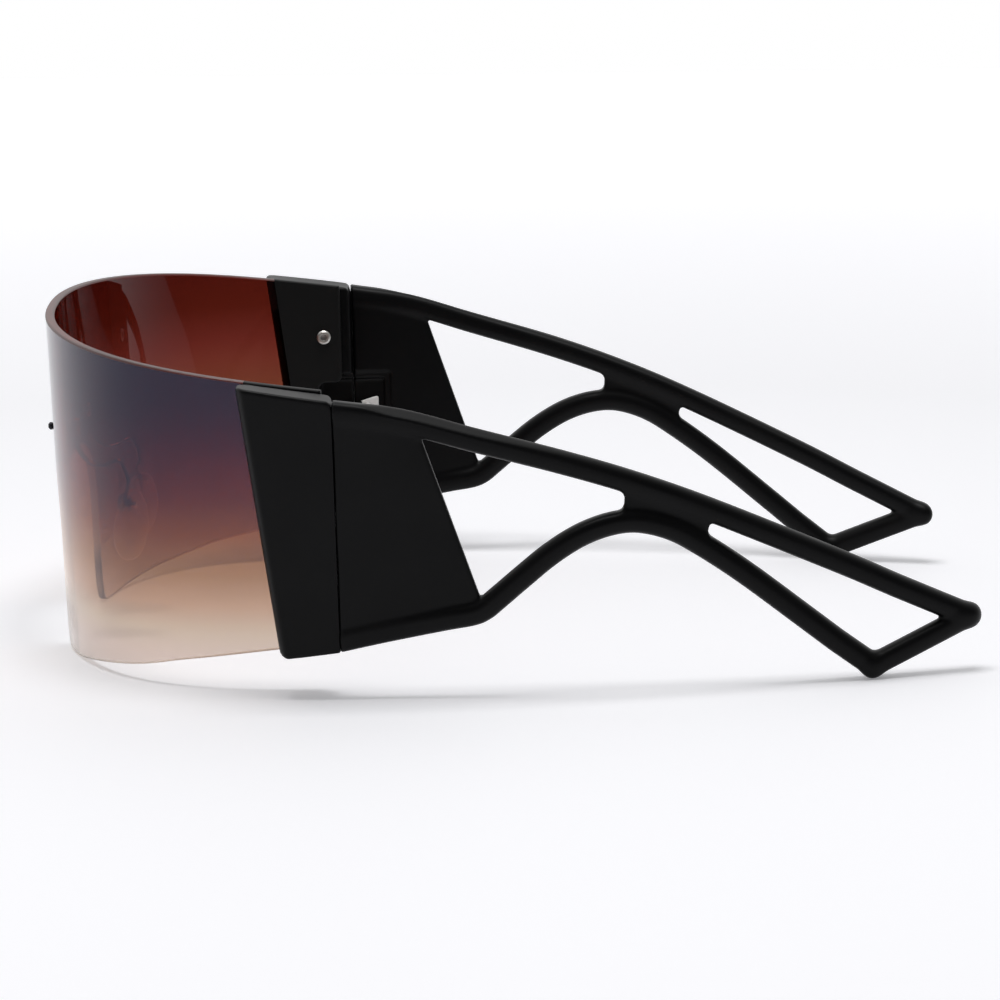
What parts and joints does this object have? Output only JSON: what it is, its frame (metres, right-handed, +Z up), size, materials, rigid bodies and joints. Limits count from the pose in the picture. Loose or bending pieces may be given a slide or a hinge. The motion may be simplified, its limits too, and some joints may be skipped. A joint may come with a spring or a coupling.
{
  "type": "sunglasses",
  "caption": "Wrap-around shield sunglasses with a tinted curved lens, folding open-work temples and clear nose pads on wire arms.",
  "frame": {"origin": "on the table, below the middle of the part's bounding box, temples open", "axes": "+Z up, +X to the wearer's left, -Y is the way the wearer looks"},
  "size_m": [0.1472, 0.1788, 0.0642],
  "materials": {
    "black_nylon": "satin moulded",
    "lens_tint": "polished, graded tint",
    "nickel": "nickel plated",
    "dark_steel": "blackened",
    "clear_silicone": "clear, soft",
    "clear_nylon": "clear"
  },
  "bodies": {
    "front": {"shield_lens": "lens_tint", "left_end_piece": "black_nylon", "right_end_piece": "black_nylon", "left_hinge_front_leaf": "nickel", "right_hinge_front_leaf": "nickel", "left_hinge_screw": "nickel", "right_hinge_screw": "nickel", "left_upper_lens_screw": "nickel", "right_upper_lens_screw": "nickel", "left_lower_lens_screw": "nickel", "right_lower_lens_screw": "nickel", "left_arm_screw": "dark_steel", "right_arm_screw": "dark_steel", "left_arm_washer": "clear_nylon", "right_arm_washer": "clear_nylon", "left_arm_nut": "nickel", "right_arm_nut": "nickel", "left_nose_pad_arm": "nickel", "right_nose_pad_arm": "nickel", "left_nose_pad_screw": "nickel", "right_nose_pad_screw": "nickel"},
    "left_temple": {"left_temple": "black_nylon", "left_hinge_rear_leaf": "nickel"},
    "left_nose_pad": {"left_nose_pad": "clear_silicone", "left_nose_pad_core": "clear_nylon"},
    "right_temple": {"right_temple": "black_nylon", "right_hinge_rear_leaf": "nickel"},
    "right_nose_pad": {"right_nose_pad": "clear_silicone", "right_nose_pad_core": "clear_nylon"}
  },
  "joints": [
    {"name": "left_temple_fold", "type": "hinge", "parent": "front", "child": "left_temple", "pos_m": [0.06606, -0.03143, 0.0292], "axis": [0.0871, -0.0186, 0.996], "range_deg": [0, 76]},
    {"name": "right_temple_fold", "type": "hinge", "parent": "front", "child": "right_temple", "pos_m": [-0.06606, -0.03143, 0.0292], "axis": [0.0871, 0.0186, -0.996], "range_deg": [0, 94]},
    {"name": "left_nose_pad_rock", "type": "hinge", "parent": "front", "child": "left_nose_pad", "pos_m": [0.0115, -0.07425, 0.0266], "axis": [0.4226, 0.9063, 0], "range_deg": [-10, 10]},
    {"name": "right_nose_pad_rock", "type": "hinge", "parent": "front", "child": "right_nose_pad", "pos_m": [-0.0115, -0.07425, 0.0266], "axis": [-0.4226, 0.9063, 0], "range_deg": [-10, 10]}
  ]
}
